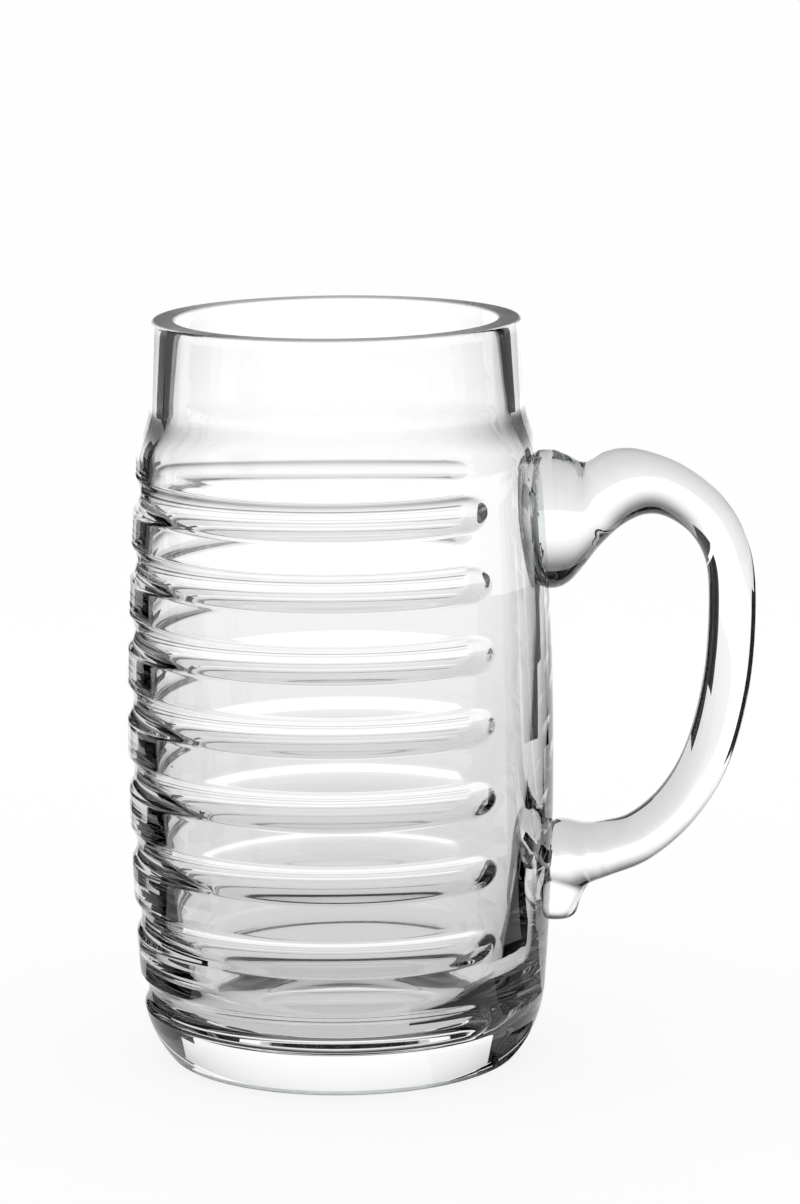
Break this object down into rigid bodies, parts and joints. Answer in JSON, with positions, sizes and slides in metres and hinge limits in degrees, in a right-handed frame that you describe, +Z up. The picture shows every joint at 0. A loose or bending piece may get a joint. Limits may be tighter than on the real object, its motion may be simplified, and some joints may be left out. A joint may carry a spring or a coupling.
{
  "type": "beer mug",
  "caption": "Clear glass beer mug: a barrel body cut with long horizontal flutes, a flat ground rim, a thick solid base and an applied solid glass loop handle.",
  "frame": {"origin": "centre of the flat ground foot, on the axis of the body", "axes": "+Z up along the axis of the body, +X towards the handle"},
  "size_m": [0.1352, 0.0916, 0.16],
  "materials": {
    "clear_glass": "polished, with a ground rim and foot"
  },
  "bodies": {
    "root": {"mug_body": "clear_glass", "handle": "clear_glass"}
  },
  "joints": []
}
